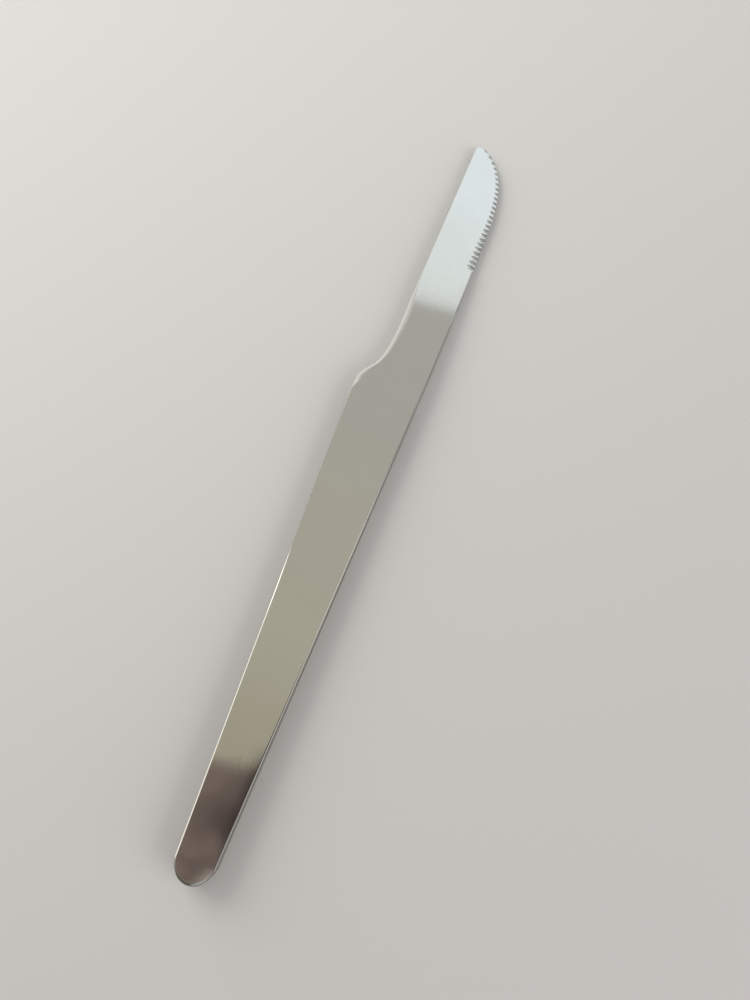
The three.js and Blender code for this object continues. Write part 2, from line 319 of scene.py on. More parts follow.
@dataclass(frozen=True)
class KnifeForm:
    """The sizes and curves that the handle and the blade share, in millimetres."""

    handle_length: float = 121.6
    butt_width: float = 9.2
    middle_width: float = 13.3
    front_width: float = 17.3
    butt_round_length: float = 5.2
    butt_thickness: float = 6.0
    front_thickness: float = 4.0
    butt_edge_radius: float = 0.5
    butt_end_rounding: float = 0.4
    front_edge_radius: float = 0.36
    inner_edge_radius: float = 0.15
    blade_length: float = 80.6
    shoulder_run: float = 1.4
    shoulder_corner_run: float = 7.0
    shoulder_corner_drop: float = 2.8
    shoulder_corner_pull: float = 3.9
    shoulder_hollow_run: float = 14.8
    shoulder_hollow_pull: float = 9.5
    shoulder_slope: Span = (2.2, -1.45)
    shoulder_steps: tuple[int, int] = (14, 22)
    heel_spine_height: float = 3.3
    tip_spine_height: float = 2.3
    belly_depth: float = 9.5
    belly_fall_length: float = 38.0
    belly_rise_length: float = 25.0
    belly_point: float = 0.52
    belly_point_power: int = 10
    tip_flat_depth: float = -0.08
    tip_corner_radius: float = 0.9
    section_blend_length: float = 26.0
    tip_thickness: float = 1.0
    corner_rounding: float = 2.3
    hollow_rounding: float = 1.45
    heel_rounding: float = 1.7
    rounding_drop: float = 0.9
    heel_edge_radius: float = 0.5
    tip_edge_radius: float = 0.35
    wedge_share: float = 0.86
    thinning_start: float = 10.0
    thinning_length: float = 44.0
    bevel_width: float = 0.3
    bevel_share: float = 0.42
    corner_share: float = 1 / 3
    drop_share: float = 0.9
    heel_bevel_thickness: float = 1.15
    tip_bevel_thickness: float = 0.8
    cutting_edge_thickness: float = 0.36

    @property
    def tip_x(self) -> float:
        """Where the blade ends."""
        return self.handle_length + self.blade_length

    @property
    def tilt(self) -> float:
        """The angle by which the knife lies tilted on its tapering handle."""
        return math.atan((self.butt_thickness - self.front_thickness) / 2 / self.handle_length)

    def half_width(self, x: float) -> float:
        """Measures the handle across.

        Args:
            x: The place along the knife.

        Returns:
            Half the width.
        """
        along = x / self.handle_length
        return 0.5 * (
            self.butt_width * (1 - along) * (1 - 2 * along)
            + self.middle_width * 4 * along * (1 - along)
            + self.front_width * along * (2 * along - 1)
        )

    def handle_station(self, x: float, inset: float) -> Station:
        """The handle's cross-section at a place along it.

        Args:
            x: The place along the handle.
            inset: How far the cross-section lies inside the handle's outer face.

        Returns:
            The cross-section.
        """
        share = x / self.handle_length
        half = lerp(self.butt_thickness, self.front_thickness, share) / 2 - inset
        radius = lerp(self.butt_edge_radius, self.front_edge_radius, share)
        radius = max(radius - inset, self.inner_edge_radius) if inset else radius
        side = self.half_width(x) - inset
        return Station(
            x, side, -side, half, radius, radius, radius - side, half, radius, half - radius
        )

    def spine_line(self, x: float) -> float:
        """Follows the straight line of the blade's back.

        Args:
            x: The place along the knife.

        Returns:
            Its distance from the knife's long axis.
        """
        heel_x = self.handle_length + self.shoulder_run + self.shoulder_corner_run
        heel_x += self.shoulder_hollow_run
        share = (x - heel_x) / (self.tip_x - heel_x)
        return lerp(self.heel_spine_height, self.tip_spine_height, share)

    def spine(self, x: float) -> float:
        """The blade's back past the heel, with its corner at the tip rounded."""
        over = max((x - self.tip_x) / self.tip_corner_radius + 1, 0.0)
        return self.spine_line(x) - self.tip_corner_radius * (1 - math.sqrt(1 - min(over, 1) ** 2))

    def shoulder(self) -> list[tuple[float, float]]:
        """Draws the shoulder: a rounded corner, then a hollow down to the heel.

        Returns:
            The points of the outline.
        """
        start_x = self.handle_length + self.shoulder_run
        start = (start_x, self.half_width(start_x))
        pulled_x = start_x + self.shoulder_corner_pull
        pulled = (pulled_x, self.half_width(pulled_x))
        end = (start_x + self.shoulder_corner_run, start[1] - self.shoulder_corner_drop)
        run, drop = self.shoulder_slope
        heel_x = end[0] + self.shoulder_hollow_run
        before_x = heel_x - self.shoulder_hollow_pull
        corner = [start, pulled, (end[0] - run, end[1] - drop), end]
        hollow = [
            end,
            (end[0] + run, end[1] + drop),
            (before_x, self.spine_line(before_x)),
            (heel_x, self.heel_spine_height),
        ]
        corner_steps, hollow_steps = self.shoulder_steps
        return [start, *cubic(corner, corner_steps), *cubic(hollow, hollow_steps)]

    def edge_over(self, x: float) -> float:
        """How far the belly has risen towards the tip, from 0 to 1."""
        return min(max((x - self.tip_x) / self.belly_rise_length + 1, 0.0), 1.0)

    def edge(self, x: float) -> float:
        """Follows the line of the cutting edge.

        Args:
            x: The place along the knife.

        Returns:
            Its distance from the knife's long axis.
        """
        over = self.edge_over(x)
        if over > 0:
            depth = self.belly_depth - self.tip_flat_depth
            depth *= 1 - self.belly_point * over**self.belly_point_power
            return -self.tip_flat_depth - depth * math.sqrt(1 - over * over)
        left = max(1 - (x - self.handle_length) / self.belly_fall_length, 0.0)
        rise = self.belly_depth - self.half_width(self.handle_length)
        return -self.belly_depth + rise * left * left

    def bevel_run(self, x: float, width: float) -> float:
        """Widens the ground edge with the belly's slope, so that it looks even round the belly.

        Args:
            x: The place along the knife.
            width: The blade's width there.

        Returns:
            Its width, measured across the knife.
        """
        over = self.edge_over(x)
        slope = self.belly_depth * over / self.belly_rise_length
        slope /= math.sqrt(max(1 - over * over, STEEPEST))
        return min(self.bevel_width * math.hypot(1, slope), self.bevel_share * width)

    def back_edge(self, x: float) -> tuple[float, float]:
        """Rounds the back edge of the blade, most along the shoulder.

        Args:
            x: The place along the knife.

        Returns:
            The width and the depth of the rounding.
        """
        joint = self.handle_length
        corner_x = joint + self.shoulder_run + self.shoulder_corner_run
        heel_x = corner_x + self.shoulder_hollow_run
        middle_x = (corner_x + heel_x) / 2
        swell = smoothstep(x, joint, joint + 2 * self.shoulder_run)
        fade = smoothstep(x, heel_x, heel_x + self.shoulder_hollow_run)
        share = (x - joint) / self.blade_length
        thin = lerp(self.heel_edge_radius, self.tip_edge_radius, share)
        wide = lerp(self.corner_rounding, self.hollow_rounding, smoothstep(x, joint, corner_x))
        wide = lerp(wide, self.heel_rounding, smoothstep(x, middle_x, heel_x))
        wide = lerp(lerp(self.front_edge_radius, wide, swell), thin, fade)
        deep = lerp(lerp(self.front_edge_radius, self.rounding_drop, swell), thin, fade)
        return wide, deep

    def blade_half(self, x: float) -> float:
        """Thins the back of the blade, on from the handle's taper.

        Args:
            x: The place along the knife.

        Returns:
            Half the thickness.
        """
        share = (x - self.handle_length) / self.blade_length
        start = self.front_thickness / 2
        first = math.tan(self.tilt) * self.blade_length
        return start - first * share - (start - first - self.tip_thickness / 2) * share * share

    def ridge_height(self, x: float) -> float:
        """Thins the blade along the ridge of the ground edge.

        Args:
            x: The place along the knife.

        Returns:
            Half the thickness.
        """
        joint = self.handle_length
        wedge = smoothstep(x, joint, joint + self.section_blend_length)
        thick = self.blade_half(x) * lerp(1.0, self.wedge_share, wedge)
        start = joint + self.thinning_start
        fine = smoothstep(x, start, start + self.thinning_length)
        share = (x - joint) / self.blade_length
        thin = lerp(self.heel_bevel_thickness, self.tip_bevel_thickness, share) / 2
        return lerp(thick, thin, fine)

    def blade_station(self, x: float, back: float) -> Station:
        """Draws the blade's cross-section at a place along it.

        Args:
            x: The place along the knife.
            back: The distance of the blade's back from the long axis.

        Returns:
            The cross-section.
        """
        edge = self.edge(x)
        width = back - edge
        blend = smoothstep(x, self.handle_length, self.handle_length + self.section_blend_length)
        half = self.blade_half(x)
        corner = self.corner_share * width
        bar = min(self.front_edge_radius, corner)
        ridge = self.ridge_height(x)
        wide, deep = self.back_edge(x)
        return Station(
            x=x,
            back=back,
            edge=edge,
            half=half,
            back_radius=min(wide, corner),
            back_drop=min(deep, self.drop_share * half, corner),
            ridge_y=edge + lerp(bar, self.bevel_run(x, width), blend),
            ridge_z=ridge,
            ridge_radius=(1 - blend) * bar,
            lip_z=lerp(half - bar, self.cutting_edge_thickness / 2, blend),
        )


class Skin:
    """The outer skin of the knife's upper half, drawn out station by station."""

    arc_steps = 7

    def __init__(self, name: str, start: Station, base: float) -> None:
        """Draws the first cross-section.

        Args:
            name: The object's name.
            start: The cross-section at which the skin starts.
            base: How far the side walls reach, measured from the middle plane.
        """
        self.now = start
        self.base = base
        Bench.clear()
        middle = (start.x, 0.0, (start.half + base) / 2)
        bpy.ops.mesh.primitive_plane_add(size=1, location=middle, rotation=(0, math.pi / 2, 0))
        self.obj = bpy.context.active_object
        self.obj.name = name
        self.obj.data.name = name
        bpy.ops.object.transform_apply(location=True, rotation=True, scale=True)
        Bench.edit(self.obj)
        Bench.everything()
        Bench.scale((1, start.back - start.edge, start.half - base), middle)
        Bench.move((0, (start.back + start.edge) / 2, 0))
        Bench.pick(self.obj, lambda place: place.z > middle[2])
        bpy.ops.mesh.bevel(
            offset=start.back_radius, segments=self.arc_steps, affect="VERTICES", profile=ROUND
        )
        Bench.everything()
        bpy.ops.mesh.delete(type="ONLY_FACE")
        Bench.pick(self.obj, lambda place: place.z < base + TINY)
        bpy.ops.mesh.select_mode(type="EDGE")
        bpy.ops.mesh.delete(type="EDGE")
        bpy.ops.mesh.select_mode(type="VERT")

    def places(self) -> list[Vector]:
        """Returns a copy of every point's place, in the order of the points."""
        mesh = bmesh.from_edit_mesh(self.obj.data)
        return [vert.co.copy() for vert in mesh.verts]

    def ring(self) -> dict[str, list[int]]:
        """Sorts the points of the newest cross-section into the groups that move together.

        Returns:
            The numbers of the points in each group.
        """
        now = self.now
        groups: dict[str, list[int]] = {
            "back_wall": [], "back_arc": [], "middle": [], "ridge": [], "lip": [], "edge_wall": []
        }
        fold_y = now.back - now.back_radius - TINY
        for number, place in enumerate(self.places()):
            if abs(place.x - now.x) > NEAR:
                continue
            if place.z < self.base + TINY:
                groups["back_wall" if place.y > now.ridge_y else "edge_wall"].append(number)
            elif place.y > fold_y:
                groups["back_arc"].append(number)
            elif place.y > now.ridge_y + TINY:
                groups["middle"].append(number)
            elif place.z < now.lip_z + TINY and place.y < now.edge + TINY:
                groups["lip"].append(number)
            else:
                groups["ridge"].append(number)
        return groups

    def extend(self, to: Station) -> None:
        """Extrudes the open end to the next station and moves its points into place.

        Args:
            to: The cross-section at the next station.
        """
        now = self.now
        groups = self.ring()
        open_end = [number for group in groups.values() for number in group]
        reached = self.places()[open_end[0]].x
        Bench.pick_numbers(self.obj, open_end)
        Bench.extrude(to.x - reached)
        self.now = Station(**{**now.__dict__, "x": to.x})
        groups = self.ring()
        arc = groups["back_arc"]
        Bench.pick_numbers(self.obj, arc + groups["back_wall"])
        Bench.move((0, to.back - now.back, 0))
        Bench.pick_numbers(self.obj, arc + groups["middle"])
        Bench.move((0, 0, to.half - now.half))
        Bench.pick_numbers(self.obj, arc)
        widen = to.back_radius / now.back_radius
        deepen = to.back_drop / now.back_drop
        Bench.scale((1, widen, deepen), (to.x, to.back, to.half))
        Bench.pick_numbers(self.obj, groups["ridge"])
        Bench.move((0, to.ridge_y - now.ridge_y, to.ridge_z - now.ridge_z))
        if now.ridge_radius > TINY:
            grow = to.ridge_radius / now.ridge_radius
            Bench.scale((1, grow, grow), (to.x, to.ridge_y, to.ridge_z))
        Bench.pick_numbers(self.obj, groups["lip"])
        Bench.move((0, to.edge - now.edge, to.lip_z - now.lip_z))
        Bench.pick_numbers(self.obj, groups["edge_wall"])
        Bench.move((0, to.edge - now.edge, 0))
        self.now = to


@dataclass(frozen=True)
class Seat:
    """How the finished knife is laid on the table."""

    form: KnifeForm

    def place(self, pieces: Iterable[Piece]) -> None:
        """Tilts the pieces on to the underside of the handle and brings them to metres.

        Args:
            pieces: The finished pieces, in millimetres in the knife's own middle plane.
        """
        low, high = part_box("handle_lower_shell")
        tip = self.form.tip_x * math.cos(self.form.tilt)
        tip += self.form.tip_thickness / 2 * math.sin(self.form.tilt)
        lift = self.form.butt_thickness / 2 * math.cos(self.form.tilt)
        blade_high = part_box("blade")[1]
        for obj in pieces:
            obj.rotation_euler = (0, self.form.tilt, 0)
            obj.scale = (MILLIMETRE, MILLIMETRE, MILLIMETRE)
            obj.location = (
                blade_high.x - tip * MILLIMETRE, (low.y + high.y) / 2, lift * MILLIMETRE
            )
            Bench.only(obj)
            bpy.ops.object.transform_apply(location=True, rotation=True, scale=True)


@dataclass
class Handle:
    """The hollow handle: two pressed half shells and the film of braze between their rims."""

    form: KnifeForm
    wall: float = 0.7
    braze_thickness: float = 0.12
    skirt: float = -0.5
    butt_steps: int = 48
    side_stations: int = 10
    smooth_angle: float = 40.0
    upper: Piece | None = field(default=None, init=False)
    lower: Piece | None = field(default=None, init=False)
    seam: Piece | None = field(default=None, init=False)

    def build_skin(self, inset: float) -> Piece:
        """Draws a skin of the upper half, from the round butt to the joint.

        Args:
            inset: How far the skin lies inside the handle's outer face.

        Returns:
            The open skin, whose side walls reach a little past the middle plane.
        """
        form = self.form
        round_x = form.butt_round_length
        start = form.handle_station(round_x, inset)
        skin = Skin("handle_skin", start, self.skirt)
        top = start.half - TINY
        Bench.pick(skin.obj, lambda place: place.z > top)
        bpy.ops.mesh.subdivide(number_cuts=1)
        Bench.pick(skin.obj, lambda place: place.y > -TINY)
        bpy.ops.mesh.spin(
            steps=self.butt_steps, angle=-math.pi, center=(round_x, 0, 0), axis=(0, 0, 1)
        )
        Bench.weld()
        Bench.pick(skin.obj, lambda place: place.x < round_x - TINY)
        Bench.scale(((round_x - inset) / start.back, 1, 1), (round_x, 0, 0))
        if not inset:
            self.soften_butt(skin.obj, start)
        bpy.ops.transform.rotate(
            value=-form.tilt, orient_axis="Y", center_override=(round_x, 0, 0)
        )
        for step in range(1, self.side_stations + 1):
            share = step / self.side_stations
            skin.extend(form.handle_station(lerp(round_x, form.handle_length, share), inset))
        Bench.weld()
        Bench.face_out(skin.obj)
        Bench.done()
        return skin.obj

    def soften_butt(self, obj: Piece, start: Station) -> None:
        """Draws the rounded edge inwards at the butt's end, most in its highest row.

        Args:
            obj: The skin, open in edit mode.
            start: The cross-section from which the butt was spun.
        """
        round_x = self.form.butt_round_length
        rows = Skin.arc_steps
        for row in range(rows):
            turn = math.pi / 2 * row / rows
            height = start.half - start.back_drop * (1 - math.cos(turn))
            picked = Bench.pick(
                obj,
                lambda place: abs(place.z - height) < TINY
                and place.x < round_x - TINY
                and (abs(place.y) > TINY or place.x < round_x / 2),
            )
            if picked:
                pull = (1 - math.sin(turn)) * self.form.butt_end_rounding
                Bench.scale((1 - pull / round_x, 1, 1), (round_x, 0, 0))

    def build_sheet(self, name: str, low: float, high: float) -> Piece:
        """Builds the part of the handle's wall that lies between two heights.

        Args:
            name: The object's name.
            low: The height of the lower cut.
            high: The height of the upper cut, above the handle where the part has no such cut.

        Returns:
            The closed wall, with its rims bridged between the outer and the inner skin.
        """
        outer = self.build_skin(0.0)
        inner = self.build_skin(self.wall)
        Bench.clear()
        inner.select_set(True)
        outer.select_set(True)
        bpy.context.view_layer.objects.active = outer
        bpy.ops.object.join()
        outer.name = name
        outer.data.name = name
        Bench.edit(outer)
        Bench.cut(low, DOWN)
        Bench.cut(high, UP)
        bpy.ops.mesh.select_all(action="DESELECT")
        bpy.ops.mesh.select_mode(type="EDGE")
        bpy.ops.mesh.select_non_manifold(
            use_wire=False, use_boundary=True, use_multi_face=False, use_non_contiguous=False,
            use_verts=False
        )
        bpy.ops.mesh.bridge_edge_loops()
        bpy.ops.mesh.select_mode(type="VERT")
        Bench.recalculate()
        Bench.done()
        Bench.smooth(outer, self.smooth_angle)
        return outer

    def build(self) -> list[Piece]:
        """Builds the two shells and the seam.

        Returns:
            The three pieces, in millimetres in the knife's own middle plane.
        """
        half_film = self.braze_thickness / 2
        self.upper = self.build_sheet("upper_shell", half_film, self.form.butt_thickness)
        self.lower = Bench.copy(self.upper, "lower_shell")
        Bench.edit(self.lower)
        Bench.everything()
        Bench.scale((1, 1, -1), MIDDLE)
        Bench.recalculate()
        Bench.done()
        Bench.smooth(self.lower, self.smooth_angle)
        self.seam = self.build_sheet("shell_seam", -half_film, half_film)
        for obj in (self.upper, self.lower, self.seam):
            LOG.info("%s: %d faces", obj.name, len(obj.data.polygons))
        return [self.upper, self.lower, self.seam]

    def dress(self, shell: "Steel", braze: "Braze") -> None:
        """Puts the finishes on, ties the pieces to the body and hides the nodes that they stand in
        for.

        Args:
            shell: The finish of both shells.
            braze: The finish of the seam.
        """
        steel = shell.material()
        for obj, node in (
            (self.upper, "handle_upper_shell"), (self.lower, "handle_lower_shell")
        ):
            Bench.paint(obj, steel)
            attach(obj, "root")
            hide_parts(node)
        Bench.paint(self.seam, braze.material())
        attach(self.seam, "root")
        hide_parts("shell_seam_braze")


@dataclass
class Blade:
    """One forging: the blade with its serrated edge, the shoulder, the spigot and the tang."""

    form: KnifeForm
    shell_wall: float = 0.7
    fit_clearance: float = 0.3
    spigot_length: float = 5.0
    tang_length: float = 62.0
    tang_root_width: float = 9.0
    tang_end_width: float = 6.0
    tang_thickness: float = 1.3
    tang_notch_radius: float = 1.2
    tang_notch_pitch: float = 9.0
    tang_notch_count: int = 3
    step_inset: float = 0.05
    groove_count: int = 25
    groove_pitch: float = 1.504
    groove_tip_inset: float = 0.88
    tip_groove_length: float = 1.6
    middle_groove_length: float = 1.15
    heel_groove_length: float = 1.9
    middle_groove: float = 0.3
    tip_groove_radius: float = 0.5
    heel_groove_radius: float = 0.64
    groove_skew: float = math.radians(12)
    groove_tilt: float = math.radians(22)
    groove_sides: int = 28
    overrun: float = 1.0
    plain_stations: int = 10
    serrated_step: float = 0.74
    tip_reach: float = 4.0
    tip_stations: int = 12
    smooth_angle: float = 24.0
    obj: Piece | None = field(default=None, init=False)

    def stations(self) -> list[Station]:
        """Lines up the cross-sections from the joint to the tip.

        Returns:
            The cross-sections.
        """
        form = self.form
        joint = form.handle_length
        places = [(joint, form.half_width(joint)), *form.shoulder()]
        heel_x = places[-1][0]
        first_groove = self.groove_places()[-1]
        rows = [
            lerp(heel_x, first_groove, step / self.plain_stations)
            for step in range(1, self.plain_stations + 1)
        ]
        last = form.tip_x - self.tip_reach * self.serrated_step
        while rows[-1] + self.serrated_step < last:
            rows.append(rows[-1] + self.serrated_step)
        bend = math.pi / 2 / self.tip_stations
        reach = form.tip_x - rows[-1]
        start = rows[-1]
        rows += [start + reach * math.sin(bend * step) for step in range(1, self.tip_stations + 1)]
        places += [(x, form.spine(x)) for x in rows]
        return [form.blade_station(x, back) for x, back in places]

    def groove_places(self) -> list[float]:
        """Returns where each groove lies along the knife, from the tip towards the heel."""
        start = self.form.tip_x - self.groove_tip_inset
        return [start - number * self.groove_pitch for number in range(self.groove_count)]

    def groove_length(self, share: float) -> float:
        """Measures a groove: short in the middle of the belly, long at the heel.

        Args:
            share: How far along the serration the groove lies, from tip to heel.

        Returns:
            Its length.
        """
        if share < self.middle_groove:
            return lerp(
                self.tip_groove_length, self.middle_groove_length, share / self.middle_groove
            )
        rest = (share - self.middle_groove) / (1 - self.middle_groove)
        return lerp(self.middle_groove_length, self.heel_groove_length, rest)

    def build_bar(self) -> Piece:
        """Draws the plain blade as a closed solid, with its joint face towards the handle.

        Returns:
            The plain blade.
        """
        rows = self.stations()
        skin = Skin("serrated_blade", rows[0], 0.0)
        for station in rows[1:]:
            skin.extend(station)
        Bench.weld()
        Bench.done()
        mirror = skin.obj.modifiers.new("under_side", "MIRROR")
        mirror.use_axis = (False, False, True)
        mirror.use_clip = True
        mirror.merge_threshold = TINY
        Bench.apply_modifiers(skin.obj)
        Bench.edit(skin.obj)
        for end in (rows[0].x, rows[-1].x):
            Bench.pick(skin.obj, lambda place: abs(place.x - end) < TINY)
            bpy.ops.mesh.edge_face_add()
        Bench.face_out(skin.obj)
        Bench.done()
        return skin.obj

    def shape_end(
        self, obj: Piece, wide: float, high: float, centre: Triple
    ) -> None:
        """Scales the selected end face to a width and a height about a point.

        Args:
            obj: The object that is open in edit mode.
            wide: The width that the face gets.
            high: The height that the face gets.
            centre: The middle of the face.
        """
        mesh = bmesh.from_edit_mesh(obj.data)
        spots = [vert.co for vert in mesh.verts if vert.select]
        across = max(spot.y for spot in spots) - min(spot.y for spot in spots)
        upright = max(spot.z for spot in spots) - min(spot.z for spot in spots)
        Bench.scale((1, wide / across, high / upright), centre)

    def grow_tang(self, obj: Piece) -> None:
        """Insets the joint face and extrudes the spigot and the tapering tang from it.

        Args:
            obj: The plain blade.
        """
        form = self.form
        joint = form.handle_length
        root = (joint - self.spigot_length, 0, 0)
        end = (root[0] - self.tang_length, 0, 0)
        side_gap = 2 * (self.shell_wall + self.fit_clearance)
        Bench.edit(obj)
        Bench.pick(obj, lambda place: abs(place.x - joint) < TINY)
        bpy.ops.mesh.select_mode(type="FACE")
        bpy.ops.mesh.inset(thickness=self.step_inset, depth=0)
        spigot_wide = 2 * form.half_width(joint) - side_gap
        spigot_high = form.front_thickness - 2 * self.shell_wall
        self.shape_end(obj, spigot_wide, spigot_high, (joint, 0, 0))
        Bench.extrude(-self.spigot_length)
        bpy.ops.mesh.inset(thickness=self.step_inset, depth=0)
        self.shape_end(obj, self.tang_root_width, self.tang_thickness, root)
        Bench.extrude(-self.tang_length)
        self.shape_end(obj, self.tang_end_width, self.tang_thickness, end)
        bpy.ops.mesh.select_mode(type="VERT")
        Bench.done()

    def cutter(self, name: str, radius: float, depth: float) -> Piece:
        """Adds one upright round cutter at the origin.

        Args:
            name: The cutter's name.
            radius: Its radius.
            depth: Its length.

        Returns:
            The cutter.
        """
        Bench.clear()
        bpy.ops.mesh.primitive_cylinder_add(
            vertices=self.groove_sides, radius=radius, depth=depth, end_fill_type="NGON"
        )
        obj = bpy.context.active_object
        obj.name = name
        return obj

    def groove_cutters(self) -> list[Piece]:
        """Copies one slanting cutter to every groove of the serrated edge.

        Returns:
            The cutters.
        """
        form = self.form
        reach = 2 * (self.heel_groove_length + self.overrun)
        first = self.cutter("groove_cutter", 1.0, reach)
        inward = Vector((math.sin(self.groove_skew), math.cos(self.groove_skew), 0))
        axis = inward * math.cos(self.groove_tilt) + Vector((0, 0, math.sin(self.groove_tilt)))
        upright = Vector((0, 0, 1))
        cutters = []
        for number, x in enumerate(self.groove_places()):
            share = number / (self.groove_count - 1)
            radius = lerp(self.tip_groove_radius, self.heel_groove_radius, share)
            start = inward * self.groove_length(share)
            station = form.blade_station(x, form.spine(x))
            twin = Bench.copy(first, f"groove_cutter_{number}")
            twin.scale = (radius, radius, 1)
            twin.rotation_euler = axis.to_track_quat("Z", "X").to_euler()
            lifted = upright * (station.ridge_z + radius / math.cos(self.groove_tilt))
            twin.location = Vector((x, station.edge, 0)) + start + lifted
            cutters.append(twin)
        bpy.data.objects.remove(first)
        return cutters

    def notch_cutters(self) -> list[Piece]:
        """Sets a pair of round cutters at every notch of the tang.

        Returns:
            The cutters.
        """
        root_x = self.form.handle_length - self.spigot_length
        end_x = root_x - self.tang_length
        cutters = []
        for number in range(1, self.tang_notch_count + 1):
            x = end_x + self.tang_end_width / 2 + number * self.tang_notch_pitch
            share = (root_x - x) / self.tang_length
            side = lerp(self.tang_root_width, self.tang_end_width, share) / 2
            for turn in (-1, 1):
                obj = self.cutter(
                    "notch_cutter", self.tang_notch_radius, self.tang_thickness + self.overrun
                )
                obj.location = (x, turn * side, 0)
                cutters.append(obj)
        return cutters

    def carve(self, obj: Piece, cutters: list[Piece]) -> None:
        """Takes the cutters out of the blade in one cut, then drops them.

        Args:
            obj: The blade.
            cutters: The cutters, which don't touch each other.
        """
        Bench.clear()
        for cutter in cutters:
            cutter.select_set(True)
        bpy.context.view_layer.objects.active = cutters[0]
        bpy.ops.object.join()
        joined = bpy.context.active_object
        taken = obj.modifiers.new("grooves", "BOOLEAN")
        taken.operation = "DIFFERENCE"
        taken.object = joined
        taken.solver = "EXACT"
        Bench.apply_modifiers(obj)
        bpy.data.objects.remove(joined)

    def build(self) -> list[Piece]:
        """Builds the forging.

        Returns:
            The one piece, in millimetres in the knife's own middle plane.
        """
        self.obj = self.build_bar()
        self.grow_tang(self.obj)
        grooves = self.groove_cutters()
        self.carve(self.obj, grooves[::2] + self.notch_cutters())
        self.carve(self.obj, grooves[1::2])
        Bench.edit(self.obj)
        Bench.weld()
        Bench.recalculate()
        Bench.done()
        Bench.smooth(self.obj, self.smooth_angle)
        LOG.info("%s: %d faces", self.obj.name, len(self.obj.data.polygons))
        return [self.obj]

    def dress(self, steel: "Steel") -> None:
        """Puts the finish on, ties the piece to the body and hides the node that it stands in for.

        Args:
            steel: The finish.
        """
        Bench.paint(self.obj, steel.material())
        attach(self.obj, "root")
        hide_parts("blade")


class Coordinates(Enum):
    """Where a pattern takes its place from."""

    OBJECT = "Object"
    DIRECTION = "Generated"


@dataclass(frozen=True)
class Pattern:
    """The numbers of a noise pattern."""

    scale: float
    detail: float
    roughness: float = 0.5


